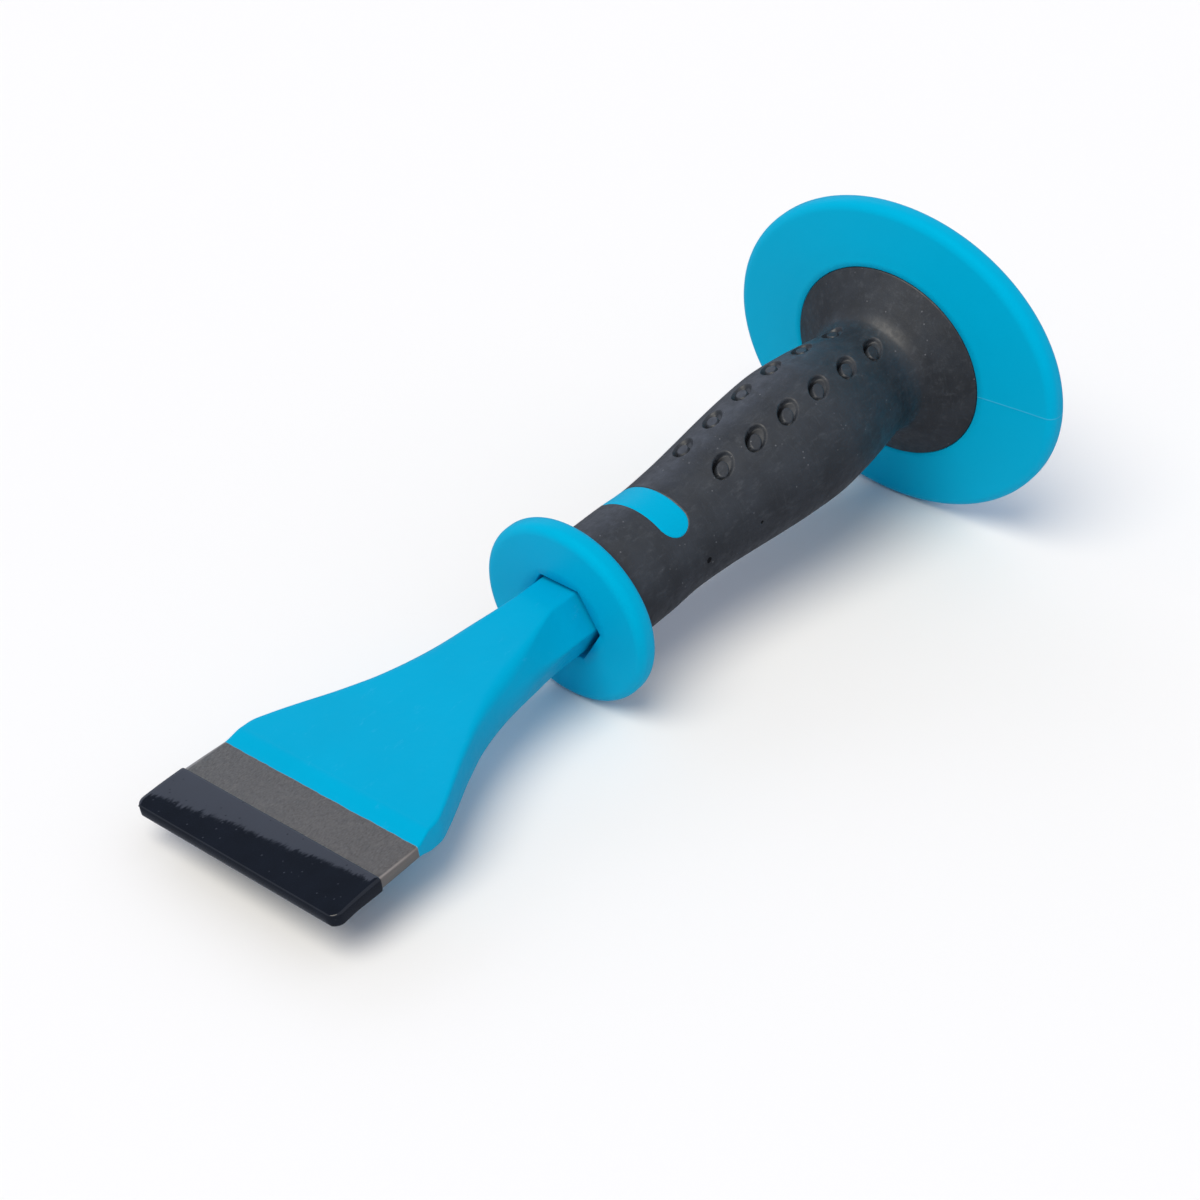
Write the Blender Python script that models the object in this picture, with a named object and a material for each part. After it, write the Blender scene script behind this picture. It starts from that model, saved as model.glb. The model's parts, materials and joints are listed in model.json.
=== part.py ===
"""A flooring bolster: a wide forged blade and a hexagonal shank in a guarded, rubber-covered handle.

The tool is modelled along its own axis in millimetres: the cutting edge is at x = 0, the struck head
at the +x end, and the blade is level. It is then laid down the way it rests on a bench, on the rims
of its collar and its hand guard, with the origin under the middle of its box.
"""

import math

import bmesh
import bpy
import numpy as np
from mathutils import Vector

MM = 0.001
TOUCHING_GAP = 0.3

# The forged bar: cutting edge, ground plate, shoulder ramp, waist, hexagonal shank and struck head.
BAR_LENGTH = 250.0
EDGE_THICKNESS = 0.3
EDGE_BEVEL_LENGTH = 3.5
PLATE_THICKNESS = 2.85
PLATE_END = 23.25
RAMP_END = 27.0
SHANK_START = 90.0
SHANK_ACROSS_FLATS = 16.66
WAIST_STEP = 3.5
HEAD_CHAMFER = 1.6
# How far the bar turns in its bore, and how much the blade rises towards its edge.
BAR_TURN = math.radians(-2.6)
BLADE_RISE_START = 100.0
BLADE_RISE_SLOPE = 0.030
# Along x: half the width of the flat faces, half the thickness, and how far the side ridge stands out.
HALF_WIDTH = [(0, 28.5), (23.25, 27.95), (30, 26.8), (38, 22.9), (46, 18.55), (55, 14.3), (65, 10.9),
              (75, 8.4), (90, 4.81)]
HALF_THICKNESS = [(27, 2.75), (30, 3.05), (38, 3.6), (50, 4.2), (65, 5.45), (80, 6.95), (90, 8.33)]
RIDGE = [(23.25, 0.1), (38, 0.5), (55, 0.7), (65, 1.3), (75, 2.4), (90, 4.81)]

# The protective dip that covers the edge.
DIP_END = 12.5
DIP_WALL = 0.35
DIP_CLEARANCE = 0.15
DIP_CORNER = 1.0

# The handle's rigid core: collar, tube with a hexagonal bore, and oval hand guard.
RING_POINTS = 48
COLLAR_X = 100.0
COLLAR_RADIUS = 22.69
COLLAR_THICKNESS = 5.7
COLLAR_CORNER = 2.26
MOUTH_ACROSS_FLATS = 18.7
MOUTH_DEPTH = 4.0
BORE_ACROSS_FLATS = 17.7
TUBE_RADIUS = [(102.85, 11.9), (135, 11.9), (178, 14.2), (205, 12.0), (222, 12.0)]
GUARD_X = 222.49
GUARD_HEIGHT = 82.1
GUARD_WIDTH = 93.3
GUARD_THICKNESS = 6.1
GUARD_CORNER = 2.52

# The soft sleeve: its radius along x, how much wider than high it is, and its trumpet end.
SLEEVE_RADIUS = [(103.15, 13.85), (113, 14.1), (130, 13.7), (140, 14.15), (160, 16.0), (180, 17.3),
                 (200, 15.3), (207, 14.4), (210, 14.9), (212, 16.4), (214, 19.2), (217.85, 25.2)]
SLEEVE_WIDENING = 0.04
SLEEVE_WIDENING_LENGTH = 110.0
TRUMPET_FLANGE = 2.15
SLEEVE_STEP = 5.0

# Finger dimples: two rows of round recesses, each round a button that stands near its blade side.
DIMPLE_COUNT = 6
DIMPLE_START = 147.0
DIMPLE_PITCH = 11.4
DIMPLE_ANGLE = math.radians(23)
DIMPLE_RADIUS = 3.6
DIMPLE_DEPTH = 1.1
BUTTON_RADIUS = 2.15
BUTTON_OFFSET = 1.3
DIMPLE_POINTS = 20

# A plain pill-shaped pad of the core that shows flush through a window in the sleeve.
PAD_X = 126.5
PAD_HALF_WIDTH = 4.2
PAD_HALF_ARC = 12.2
PAD_FOOT_RADIUS = 11.2
PAD_STATIONS = 17


def clear_scene():
    """Remove whatever the scene holds."""
    for item in list(bpy.data.objects):
        bpy.data.objects.remove(item, do_unlink=True)


def smooth_curve(x, guides):
    """Values at x of the monotone cubic through the guide points, which never overshoots them."""
    guide_x, guide_y = np.array(guides, dtype=float).T
    step = np.diff(guide_x)
    slope = np.diff(guide_y) / step
    tangent = np.concatenate([slope[:1], np.zeros(len(slope) - 1), slope[-1:]])
    for i in range(1, len(slope)):
        if slope[i - 1] * slope[i] > 0:
            before = 2 * step[i] + step[i - 1]
            after = step[i] + 2 * step[i - 1]
            tangent[i] = (before + after) / (before / slope[i - 1] + after / slope[i])
    x = np.asarray(x, dtype=float)
    i = np.clip(np.searchsorted(guide_x, x) - 1, 0, len(slope) - 1)
    t = (x - guide_x[i]) / step[i]
    start = (1 + 2 * t) * (1 - t) ** 2 * guide_y[i] + t * (1 - t) ** 2 * step[i] * tangent[i]
    end = t * t * (3 - 2 * t) * guide_y[i + 1] + t * t * (t - 1) * step[i] * tangent[i + 1]
    return start + end


def material(name, colour, roughness, metallic=0.0):
    """A Principled material."""
    made = bpy.data.materials.new(name)
    made.use_nodes = True
    shader = made.node_tree.nodes["Principled BSDF"]
    shader.inputs["Base Color"].default_value = (*colour, 1.0)
    shader.inputs["Roughness"].default_value = roughness
    shader.inputs["Metallic"].default_value = metallic
    return made


def loft(name, rings, finish, parent, endless=False):
    """Skin a stack of equal rings into one closed solid, capped at its ends or joined end to end."""
    shape = bmesh.new()
    stack = [[shape.verts.new(Vector(point) * MM) for point in ring] for ring in rings]
    pairs = list(zip(stack, stack[1:]))
    if endless:
        pairs.append((stack[-1], stack[0]))
    else:
        shape.faces.new(stack[0])
        shape.faces.new(stack[-1])
    for near, far in pairs:
        for i in range(len(near)):
            j = (i + 1) % len(near)
            shape.faces.new((near[i], near[j], far[j], far[i]))
    bmesh.ops.recalc_face_normals(shape, faces=shape.faces)
    mesh = bpy.data.meshes.new(name)
    shape.to_mesh(mesh)
    shape.free()
    mesh.shade_smooth()
    mesh.set_sharp_from_angle(angle=math.radians(32))
    mesh.materials.append(finish)
    made = bpy.data.objects.new(name, mesh)
    made.parent = parent
    bpy.context.collection.objects.link(made)
    return made


def empty(name, parent=None):
    """An empty that carries pieces."""
    made = bpy.data.objects.new(name, None)
    made.parent = parent
    bpy.context.collection.objects.link(made)
    return made


def ring_angles():
    """Even angles round the tool's axis, from +y towards +z."""
    return np.arange(RING_POINTS) * 2 * math.pi / RING_POINTS


def oval(x, half_width, half_height):
    """A ring with the given half axes along y and z."""
    angle = ring_angles()
    return np.stack([np.full_like(angle, x), half_width * np.cos(angle), half_height * np.sin(angle)], 1)


def hexagon(x, across_flats):
    """A hexagonal ring with two flats level, as a polar curve: flat distance over cosine."""
    angle = ring_angles()
    from_flat = angle % (math.pi / 3) - math.pi / 6
    radius = across_flats / 2 / np.cos(from_flat)
    return np.stack([np.full_like(angle, x), radius * np.cos(angle), radius * np.sin(angle)], 1)


def rounded_rim(x, thickness, half_width, half_height, corner, steps=4):
    """Rings that go round a disc's rim from its front face to its back face, with round corners."""
    inset = thickness / 2 - corner
    rings = []
    for side in (-1, 1):
        for i in range(steps + 1):
            turn = math.pi / 2 * (i / steps if side < 0 else 1 - i / steps)
            reach = corner * (1 - math.sin(turn))
            along = x + side * (inset + corner * math.cos(turn))
            rings.append(oval(along, half_width - reach, half_height - reach))
    return rings


def sleeve_half_axes(x):
    """The sleeve's half axes along y and z at x."""
    radius = smooth_curve(x, SLEEVE_RADIUS)
    wider = 1 + SLEEVE_WIDENING * np.clip((x - COLLAR_X) / SLEEVE_WIDENING_LENGTH, 0, 1)
    return radius * wider, radius


def bar_ring(x, grow=0.0):
    """A six-sided section of the bar at x, grown outwards by the given amount."""
    half_width = float(smooth_curve(min(x, SHANK_START), HALF_WIDTH)) + grow
    if x < PLATE_END:
        half_edge = EDGE_THICKNESS / 2
        share = min(max(x, 0) / EDGE_BEVEL_LENGTH, 1)
        half_thickness = half_edge + share * (PLATE_THICKNESS / 2 - half_edge)
        ridge = RIDGE[0][1]
    elif x < RAMP_END:
        share = (x - PLATE_END) / (RAMP_END - PLATE_END)
        half_thickness = PLATE_THICKNESS / 2 + share * (HALF_THICKNESS[0][1] - PLATE_THICKNESS / 2)
        ridge = float(smooth_curve(x, RIDGE))
    else:
        half_thickness = float(smooth_curve(min(x, SHANK_START), HALF_THICKNESS))
        ridge = float(smooth_curve(min(x, SHANK_START), RIDGE))
    half_thickness += grow
    rise = BLADE_RISE_SLOPE * max(0.0, BLADE_RISE_START - x)
    section = [(half_width, half_thickness), (-half_width, half_thickness), (-half_width - ridge, 0),
               (-half_width, -half_thickness), (half_width, -half_thickness), (half_width + ridge, 0)]
    return np.array([(x, y, z + rise) for y, z in section])


def chisel_bar(parent):
    """The forging: ground plate with its bevelled edge, waist, hexagonal shank and chamfered head."""
    waist = np.arange(RAMP_END, SHANK_START, WAIST_STEP)
    stations = [0.0, EDGE_BEVEL_LENGTH, PLATE_END, *waist, SHANK_START, BLADE_RISE_START]
    rings = [bar_ring(x) for x in stations]
    rings.append(bar_ring(BAR_LENGTH - HEAD_CHAMFER))
    head = bar_ring(BAR_LENGTH - HEAD_CHAMFER)
    head[:, 0] = BAR_LENGTH
    head[:, 1:] *= 1 - 2 * HEAD_CHAMFER / SHANK_ACROSS_FLATS
    rings.append(head)
    paint = material("blue_paint", (0.0, 0.36, 0.68), 0.35)
    return loft("chisel_bar", rings, paint, parent)


def dip_ring(x, grow, corner):
    """A section of the dip at x: the bar's section grown, with its four corners cut by the corner size."""
    points = bar_ring(max(x, 0.0), grow)
    half_width = points[0][1]
    top = points[0][2]
    bottom = points[3][2]
    cut = min(corner, (top - bottom) * 0.35)
    section = [(half_width - cut, top), (-half_width + cut, top), (-half_width, top - cut),
               (-half_width, bottom + cut), (-half_width + cut, bottom), (half_width - cut, bottom),
               (half_width, bottom + cut), (half_width, top - cut)]
    return np.array([(x, y, z) for y, z in section])


def edge_dip(parent):
    """A cap over the cutting edge: an outer skin and an inner pocket, open towards the shank."""
    inner = DIP_CLEARANCE + RIDGE[0][1]
    outer = inner + DIP_WALL
    outside = [dip_ring(-outer, outer * 0.3, DIP_CORNER), dip_ring(-outer * 0.3, outer, DIP_CORNER),
               dip_ring(EDGE_BEVEL_LENGTH, outer, DIP_CORNER), dip_ring(DIP_END - 0.8, outer, DIP_CORNER),
               dip_ring(DIP_END, outer - 0.15, DIP_CORNER)]
    inside = [dip_ring(x, inner, 0.05) for x in (DIP_END, EDGE_BEVEL_LENGTH, -inner * 0.6)]
    black = material("black_dip", (0.006, 0.008, 0.012), 0.08)
    return loft("edge_dip", outside + inside, black, parent)


def pill_block(name, parent, margin, foot_radius, finish, overshoot=0.0):
    """A pill that wraps round the sleeve: four-point sections carried round the axis.

    The half width at arc s follows the pill's straight middle and round ends, and the outer
    face follows the sleeve's own surface, or stands above it by the overshoot.
    """
    half_width = PAD_HALF_WIDTH + margin
    reach = PAD_HALF_ARC + margin
    turn = np.linspace(-math.pi / 2, math.pi / 2, PAD_STATIONS) * 0.94
    arcs = reach * np.sin(turn)
    end_centre = reach - half_width
    sleeve_radius = float(smooth_curve(PAD_X, SLEEVE_RADIUS))
    rings = []
    for arc in arcs:
        past_end = max(0.0, abs(arc) - end_centre)
        width = math.sqrt(max(half_width ** 2 - past_end ** 2, 0.0))
        angle = arc / sleeve_radius
        ring = []
        for side, top in ((-1, False), (1, False), (1, True), (-1, True)):
            x = PAD_X + side * width
            wide, high = sleeve_half_axes(x)
            radii = (wide + overshoot, high + overshoot) if top else (foot_radius, foot_radius)
            ring.append((x, radii[0] * math.sin(angle), radii[1] * math.cos(angle)))
        rings.append(ring)
    return loft(name, rings, finish, parent)


def handle_core(parent):
    """Collar, tube and oval guard in one moulding, with a hexagonal bore right through it."""
    front = COLLAR_X - COLLAR_THICKNESS / 2
    collar_back = COLLAR_X + COLLAR_THICKNESS / 2
    back = GUARD_X + GUARD_THICKNESS / 2
    trumpet_x = SLEEVE_RADIUS[-1][0]
    wide, high = (half + TOUCHING_GAP for half in sleeve_half_axes(trumpet_x))
    floor_x = trumpet_x + TRUMPET_FLANGE + TOUCHING_GAP
    rings = [hexagon(front, MOUTH_ACROSS_FLATS)]
    rings += rounded_rim(COLLAR_X, COLLAR_THICKNESS, COLLAR_RADIUS, COLLAR_RADIUS, COLLAR_CORNER)
    for x in np.linspace(collar_back, floor_x, 12):
        radius = float(smooth_curve(x, TUBE_RADIUS))
        rings.append(oval(x, radius, radius))
    rings += [oval(floor_x, wide, high), oval(trumpet_x, wide, high)]
    rings += rounded_rim(GUARD_X, GUARD_THICKNESS, GUARD_WIDTH / 2, GUARD_HEIGHT / 2, GUARD_CORNER)
    rings += [hexagon(back, BORE_ACROSS_FLATS), hexagon(front + MOUTH_DEPTH + 1, BORE_ACROSS_FLATS),
              hexagon(front + MOUTH_DEPTH, MOUTH_ACROSS_FLATS)]
    blue = material("blue_moulding", (0.0, 0.36, 0.68), 0.45)
    core = loft("handle_core", rings, blue, parent, endless=True)
    pad = pill_block("pad_guide", parent, 0.0, PAD_FOOT_RADIUS, blue)
    combine(core, pad, "UNION")
    return core


def combine(target, tool, operation):
    """Join the tool shape to the target, or cut it out, and keep it as a hidden wire guide."""
    tool.hide_render = True
    tool.display_type = "WIRE"
    step = target.modifiers.new(operation.lower(), "BOOLEAN")
    step.operation = operation
    step.solver = "EXACT"
    step.object = tool


def dimple_cutter(name, x, side, parent):
    """A short round prism with an off-centre round hole, which leaves the button standing."""
    wide, high = sleeve_half_axes(x)
    slope = float(smooth_curve(x + 1, SLEEVE_RADIUS) - smooth_curve(x - 1, SLEEVE_RADIUS)) / 2
    angle = side * DIMPLE_ANGLE
    surface = Vector((x, wide * math.sin(angle), high * math.cos(angle)))
    along = Vector((1, slope * math.sin(angle), slope * math.cos(angle))).normalized()
    outward = Vector((-slope, math.sin(angle), math.cos(angle))).normalized()
    across = outward.cross(along)
    turn = np.arange(DIMPLE_POINTS) * 2 * math.pi / DIMPLE_POINTS

    def circle(radius, offset, height):
        return [surface + along * (offset + radius * math.cos(t)) + across * (radius * math.sin(t))
                + outward * height for t in turn]

    above = 2.5
    rings = [circle(DIMPLE_RADIUS, 0, -DIMPLE_DEPTH), circle(DIMPLE_RADIUS, 0, above),
             circle(BUTTON_RADIUS, -BUTTON_OFFSET, above),
             circle(BUTTON_RADIUS, -BUTTON_OFFSET, -DIMPLE_DEPTH)]
    return loft(name, rings, bpy.data.materials["black_rubber"], parent, endless=True)


def grip_sleeve(parent):
    """The soft sleeve over the tube: swelling grip, neck and trumpet that lies flush in the guard."""
    start = SLEEVE_RADIUS[0][0]
    end = SLEEVE_RADIUS[-1][0]
    flare = SLEEVE_RADIUS[-5][0]
    outside = [*np.arange(start, flare, SLEEVE_STEP), flare, *np.linspace(flare, end, 9)[1:]]
    rings = [oval(x, *sleeve_half_axes(x)) for x in outside]
    back = end + TRUMPET_FLANGE
    rings.append(oval(back, *sleeve_half_axes(end)))
    for x in np.linspace(back, start, 12):
        radius = float(smooth_curve(x, TUBE_RADIUS)) + TOUCHING_GAP
        rings.append(oval(x, radius, radius))
    rubber = material("black_rubber", (0.045, 0.048, 0.06), 0.7)
    sleeve = loft("grip_sleeve", rings, rubber, parent, endless=True)
    combine(sleeve, pill_block("window_guide", parent, TOUCHING_GAP, TUBE_RADIUS[0][1] - 0.6, rubber, 3.0),
            "DIFFERENCE")
    for side, row in ((-1, "right"), (1, "left")):
        for i in range(DIMPLE_COUNT):
            x = DIMPLE_START + i * DIMPLE_PITCH
            combine(sleeve, dimple_cutter(f"dimple_guide_{row}_{i + 1}", x, side, parent), "DIFFERENCE")
    return sleeve


def lay_down(tool, pieces):
    """Tilt the tool until both rims touch the bench, then centre its box over the origin."""
    collar = (COLLAR_X - COLLAR_THICKNESS / 2 + COLLAR_CORNER, COLLAR_RADIUS - COLLAR_CORNER)
    guard = (GUARD_X - GUARD_THICKNESS / 2 + GUARD_CORNER, GUARD_HEIGHT / 2 - GUARD_CORNER)
    along = guard[0] - collar[0]
    down = guard[1] - collar[1]
    tilt = math.atan2(down, along) + math.asin((GUARD_CORNER - COLLAR_CORNER) / math.hypot(along, down))
    tool.rotation_euler = (0, -tilt, 0)
    bpy.context.view_layer.update()
    points = np.array([piece.matrix_world @ vertex.co for piece in pieces for vertex in piece.data.vertices])
    low = points.min(axis=0)
    high = points.max(axis=0)
    tool.location = (-(low[0] + high[0]) / 2, -(low[1] + high[1]) / 2, -low[2])


def main():
    """Build every piece and lay the tool on the bench."""
    clear_scene()
    tool = empty("tool")
    bar_seat = empty("bar_seat", tool)
    bar_seat.rotation_euler = (BAR_TURN, 0, 0)
    pieces = [chisel_bar(bar_seat), edge_dip(bar_seat), handle_core(tool), grip_sleeve(tool)]
    lay_down(tool, pieces)


main()
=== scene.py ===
"""Looks of the flooring bolster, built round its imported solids.

The file is laid out as an add-on and run as a script. Every visible surface is worked out in the
tool's own frame, in millimetres: x runs along the handle's axis from the cutting edge to the struck
head, z is up from the blade and y completes the set. tool_matrix() carries it into the row's frame.
"""

import json
import math

import bpy
import numpy as np
from bpy.props import FloatProperty, FloatVectorProperty, IntProperty, PointerProperty
from mathutils import Matrix, Vector


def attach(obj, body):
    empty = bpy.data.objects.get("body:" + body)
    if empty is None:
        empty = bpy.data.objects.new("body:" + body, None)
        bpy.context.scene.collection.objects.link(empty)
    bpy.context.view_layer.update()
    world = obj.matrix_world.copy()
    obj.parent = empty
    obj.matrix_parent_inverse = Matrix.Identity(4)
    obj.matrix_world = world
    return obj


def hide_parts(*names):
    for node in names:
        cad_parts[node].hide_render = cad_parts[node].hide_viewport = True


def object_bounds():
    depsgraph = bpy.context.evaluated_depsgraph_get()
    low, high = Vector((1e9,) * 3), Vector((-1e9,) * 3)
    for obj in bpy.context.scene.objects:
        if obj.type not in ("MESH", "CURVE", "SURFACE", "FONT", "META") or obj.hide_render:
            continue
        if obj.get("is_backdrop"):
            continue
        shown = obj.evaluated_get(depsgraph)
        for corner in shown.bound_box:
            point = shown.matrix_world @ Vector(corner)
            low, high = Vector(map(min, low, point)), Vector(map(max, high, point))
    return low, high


bl_info = {
    "name": "Flooring bolster",
    "version": (1, 0, 0),
    "blender": (4, 5, 0),
    "location": "View3D > Sidebar > Bolster",
    "description": "Detailed surfaces and finishes for a guarded flooring bolster",
    "category": "Add Mesh",
}

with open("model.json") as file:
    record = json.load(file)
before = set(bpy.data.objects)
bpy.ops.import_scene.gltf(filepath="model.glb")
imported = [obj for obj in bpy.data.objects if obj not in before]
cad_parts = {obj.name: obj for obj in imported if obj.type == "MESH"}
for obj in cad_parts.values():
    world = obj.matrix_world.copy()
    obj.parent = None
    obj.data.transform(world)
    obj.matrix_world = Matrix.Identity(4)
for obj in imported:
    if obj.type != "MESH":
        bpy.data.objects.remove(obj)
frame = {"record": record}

BODY = "root"
MM = 0.001
LENGTH = 250.0
# The blue finishes share a low gloss whose reflections are tinted.
GLOSS_LEVEL = 0.09
GLOSS_TINT = (0.0, 0.75, 1.0, 1.0)

# The bar: half width, half thickness and how far the side ridge stands out, along x.
HALF_WIDTH = [(0, 28.5), (23.25, 27.95), (27, 27.4), (30, 27.05), (34, 25.35), (38, 23.3), (42, 21.15),
              (46, 19.0), (50, 17.05), (55, 14.7), (60, 12.85), (65, 11.3), (70, 9.95), (75, 8.65),
              (80, 7.35), (85, 6.0), (90, 4.9)]
HALF_THICKNESS = [(27, 2.75), (30, 3.05), (38, 3.6), (50, 4.2), (65, 5.45), (80, 6.95), (90, 8.33)]
RIDGE = [(0, 0.1), (23.25, 0.1), (38, 0.5), (55, 0.7), (65, 1.3), (75, 2.4), (90, 4.81)]
TOP_FILLET = [(0, 0.3), (24, 0.5), (40, 0.9), (55, 1.6), (68, 2.4), (80, 1.2), (88, 0.55), (250, 0.55)]
RIDGE_FILLET = [(0, 0.5), (30, 1.2), (60, 2.4), (78, 2.2), (88, 0.5), (250, 0.5)]
PLATE_END = 23.25
RAMP_END = 27.0
SHANK_START = 90.0
EDGE_BEVEL = 3.5
BAR_TURN = math.radians(-2.6)
RISE_START = 100.0
RISE_SLOPE = 0.030
SIDE_SHIFT = 0.25
EDGE_HALF = 0.15
RAMP_HALF = 2.85
GUIDE_HALF_FLATS = 8.33
# The turned chamfer on the head: its length, its reach at the start against half the flats, its curve.
HEAD_CHAMFER = 3.4
HEAD_REACH = 1.17
HEAD_CURVE = 0.189

# The core: collar, tube, guard and bore.
COLLAR_X = 100.0
COLLAR_RADIUS = 22.69
COLLAR_HALF = 2.85
COLLAR_CORNER = 2.26
MOUTH_FLATS = 18.7
MOUTH_DEPTH = 4.0
BORE_FLATS = 17.7
TUBE_RADIUS = [(102.85, 11.9), (135, 11.9), (178, 14.2), (205, 12.0), (222, 12.0)]
GUARD_X = 222.49
GUARD_HALF = 3.05
GUARD_HALF_WIDTH = 46.65
GUARD_HALF_HEIGHT = 41.05
GUARD_CORNER = 2.52

# The sleeve: radius along x, and its flange in the guard's face.
SLEEVE_RADIUS = [(103.15, 13.85), (113, 14.1), (121, 14.05), (130, 13.7), (140, 14.15), (150, 15.03),
                 (160, 16.04), (170, 16.87), (180, 17.3), (190, 16.6), (200, 15.3), (207, 14.4),
                 (210, 14.9), (212, 16.4), (214, 19.2), (217.85, 25.2)]
SLEEVE_WIDENING = 0.04
WIDENING_LENGTH = 110.0
FLANGE = 2.15
GAP = 0.3

# The plain pad that shows through the sleeve.
PAD_X = 126.5
PAD_HALF_WIDTH = 4.2
PAD_HALF_ARC = 12.2
PAD_SEAT_DEPTH = 0.6
PAD_FOOT_DEPTH = 0.8
PAD_PINCH = 0.06


def tool_matrix():
    """The tool's frame in the row's frame: the struck face's mount lies on the axis, at the far end."""
    mounts = {mount["name"]: mount for mount in frame["record"]["mounts"]}
    struck = mounts["struck_face"]
    along = Vector(struck["axis"]).normalized()
    across = Vector((0, 1, 0))
    up = along.cross(across)
    place = Vector(struck["pos_m"]) - along * LENGTH * MM
    return Matrix.Translation(place) @ Matrix((along, across, up)).transposed().to_4x4()


TOOL = tool_matrix()


def millimetres(length):
    """A length from the settings in millimetres, rounded because a setting is stored in single precision."""
    return round(length / MM, 4)


class BarSettings(bpy.types.PropertyGroup):
    """Sizes and colours of the forged bar."""

    plate_thickness: FloatProperty(name="Plate thickness", default=2.85 * MM, min=1.0 * MM, max=6.0 * MM,
                                   subtype="DISTANCE", unit="LENGTH", precision=4,
                                   description="Thickness of the ground plate")
    across_flats: FloatProperty(name="Across flats", default=16.66 * MM, min=8.0 * MM, max=17.4 * MM,
                                subtype="DISTANCE", unit="LENGTH", precision=4,
                                description="Width of the hexagonal shank")
    paint: FloatVectorProperty(name="Paint", subtype="COLOR", size=3, min=0, max=1,
                               default=(0.0, 0.350, 0.590), description="Colour of the paint")
    steel: FloatVectorProperty(name="Ground steel", subtype="COLOR", size=3, min=0, max=1,
                               default=(0.198, 0.176, 0.160), description="Colour of the bare steel")


class DipSettings(bpy.types.PropertyGroup):
    """Size and colour of the protective dip."""

    depth: FloatProperty(name="Depth", default=12.5 * MM, min=4.0 * MM, max=20.0 * MM,
                         subtype="DISTANCE", unit="LENGTH", precision=4,
                         description="How far the dip reaches back from the edge")
    wall: FloatProperty(name="Wall", default=0.45 * MM, min=0.2 * MM, max=1.0 * MM,
                        subtype="DISTANCE", unit="LENGTH", precision=5, description="Thickness of the dip")
    colour: FloatVectorProperty(name="Colour", subtype="COLOR", size=3, min=0, max=1,
                                default=(0.004, 0.006, 0.011), description="Colour of the dip")


class CoreSettings(bpy.types.PropertyGroup):
    """Fineness and colour of the rigid moulding."""

    segments: IntProperty(name="Segments", default=240, min=48, max=480, step=6,
                          description="Points round the collar, tube and guard")
    colour: FloatVectorProperty(name="Colour", subtype="COLOR", size=3, min=0, max=1,
                                default=(0.0, 0.385, 0.630), description="Colour of the moulding")


class SleeveSettings(bpy.types.PropertyGroup):
    """Dimples and colour of the soft sleeve."""

    dimple_count: IntProperty(name="Dimples in a row", default=6, min=0, max=6,
                              description="How many dimples each of the two rows has")
    dimple_depth: FloatProperty(name="Dimple depth", default=2.0 * MM, min=0.0, max=2.2 * MM,
                                subtype="DISTANCE", unit="LENGTH", precision=4,
                                description="Depth of a dimple")
    colour: FloatVectorProperty(name="Colour", subtype="COLOR", size=3, min=0, max=1,
                                default=(0.015, 0.0185, 0.0245), description="Colour of the rubber")


class StageSettings(bpy.types.PropertyGroup):
    """The floor and the light."""

    floor_colour: FloatVectorProperty(name="Floor", subtype="COLOR", size=3, min=0, max=1,
                                      default=(0.90, 0.90, 0.90), description="Colour of the floor")
    key_light: FloatProperty(name="Key light", default=2.05, min=0.0,
                             description="Strength of the large soft light overhead")
    key_softness: FloatProperty(name="Key softness", default=math.radians(42), min=0.0,
                                max=math.pi, subtype="ANGLE", unit="ROTATION",
                                description="How wide the overhead light is")
    room_light: FloatProperty(name="Room light", default=0.55, min=0.0,
                              description="Strength of the even light all round")


def smooth_curve(x, guides):
    """Values at x of the monotone cubic through the guide points, which never overshoots them."""
    guide_x, guide_y = np.array(guides, dtype=float).T
    step = np.diff(guide_x)
    slope = np.diff(guide_y) / step
    tangent = np.concatenate([slope[:1], np.zeros(len(slope) - 1), slope[-1:]])
    before = 2 * step[1:] + step[:-1]
    after = step[1:] + 2 * step[:-1]
    same_way = slope[:-1] * slope[1:] > 0
    near = np.where(same_way, slope[:-1], 1.0)
    far = np.where(same_way, slope[1:], 1.0)
    tangent[1:-1] = np.where(same_way, (before + after) / (before / near + after / far), 0.0)
    x = np.clip(np.asarray(x, dtype=float), guide_x[0], guide_x[-1])
    i = np.clip(np.searchsorted(guide_x, x) - 1, 0, len(slope) - 1)
    t = (x - guide_x[i]) / step[i]
    start = (1 + 2 * t) * (1 - t) ** 2 * guide_y[i] + t * (1 - t) ** 2 * step[i] * tangent[i]
    end = t * t * (3 - 2 * t) * guide_y[i + 1] + t * t * (t - 1) * step[i] * tangent[i + 1]
    return start + end


def ease(value, low, high):
    """0 below low, 1 above high, and a smooth step between them."""
    t = np.clip((value - low) / (high - low), 0, 1)
    return t * t * (3 - 2 * t)


def joined(*parts):
    """Stations from several evenly spaced stretches, without repeats."""
    return np.unique(np.round(np.concatenate(parts), 6))


def skin(name, rings, endless=False, **values):
    """A closed skin over a stack of equal rings: ring i, point j makes a quad with its next ones.

    The stack is capped at both ends, or joined end to end when it is endless. Any further values
    are kept as attributes of its points.
    """
    rows, count = rings.shape[:2]
    index = np.arange(rows * count).reshape(rows, count)
    if endless:
        index = np.vstack([index, index[:1]])
    beside = np.roll(index, -1, axis=1)
    quads = np.stack([index[:-1], beside[:-1], beside[1:], index[1:]], axis=-1).reshape(-1, 4)
    faces = quads.tolist()
    if not endless:
        faces += [index[0, ::-1].tolist(), index[-1].tolist()]
    mesh = bpy.data.meshes.new(name)
    mesh.from_pydata((rings * MM).reshape(-1, 3), [], faces)
    mesh.transform(TOOL)
    mesh.update()
    mesh.validate()
    for key, value in values.items():
        mesh.attributes.new(key, "FLOAT", "POINT").data.foreach_set("value", value.ravel())
    mesh.shade_smooth()
    made = bpy.data.objects.new(name, mesh)
    bpy.context.scene.collection.objects.link(made)
    return made


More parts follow.
